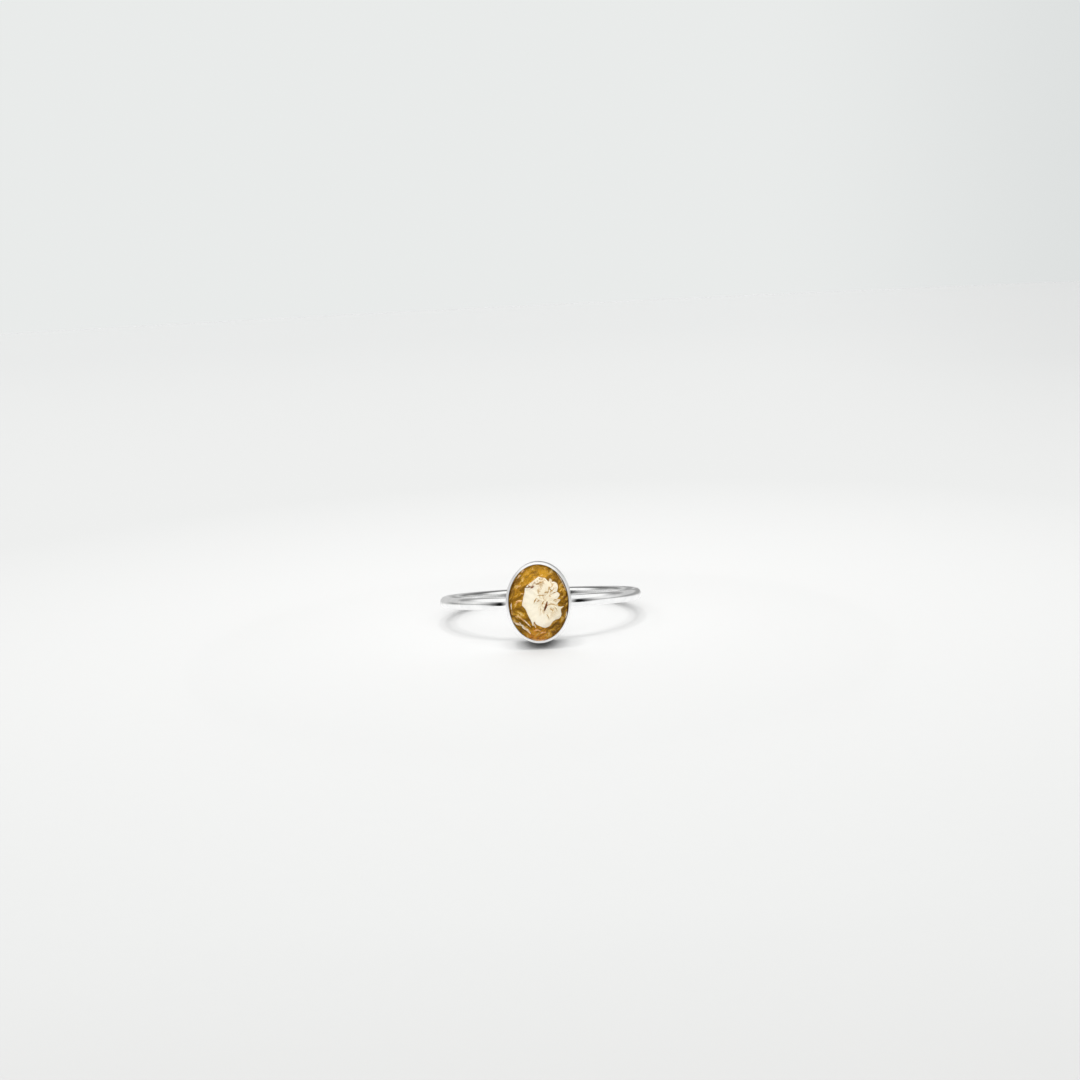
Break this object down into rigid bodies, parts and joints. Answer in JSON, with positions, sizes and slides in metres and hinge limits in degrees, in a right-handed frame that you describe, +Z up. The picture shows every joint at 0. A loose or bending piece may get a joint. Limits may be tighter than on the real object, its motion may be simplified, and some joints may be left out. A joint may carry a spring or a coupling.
{
  "type": "ring with an oval bezel-set citrine",
  "caption": "Plain round-wire finger ring with a faceted oval citrine in an open-backed bezel, lying on its side.",
  "frame": {"origin": "on the surface that the ring lies on, under the middle of its bounding box", "axes": "+Z up from that surface, -Y the way the stone faces, +X across the band; the finger hole's axis leans back from +Z, because the bezel props up the front of the band"},
  "size_m": [0.0194, 0.0224, 0.0077],
  "materials": {
    "silver": "polished sterling silver",
    "citrine": "polished golden-brown quartz with a cream veil"
  },
  "bodies": {
    "root": {"band_and_bezel": "silver", "citrine": "citrine"}
  },
  "joints": []
}
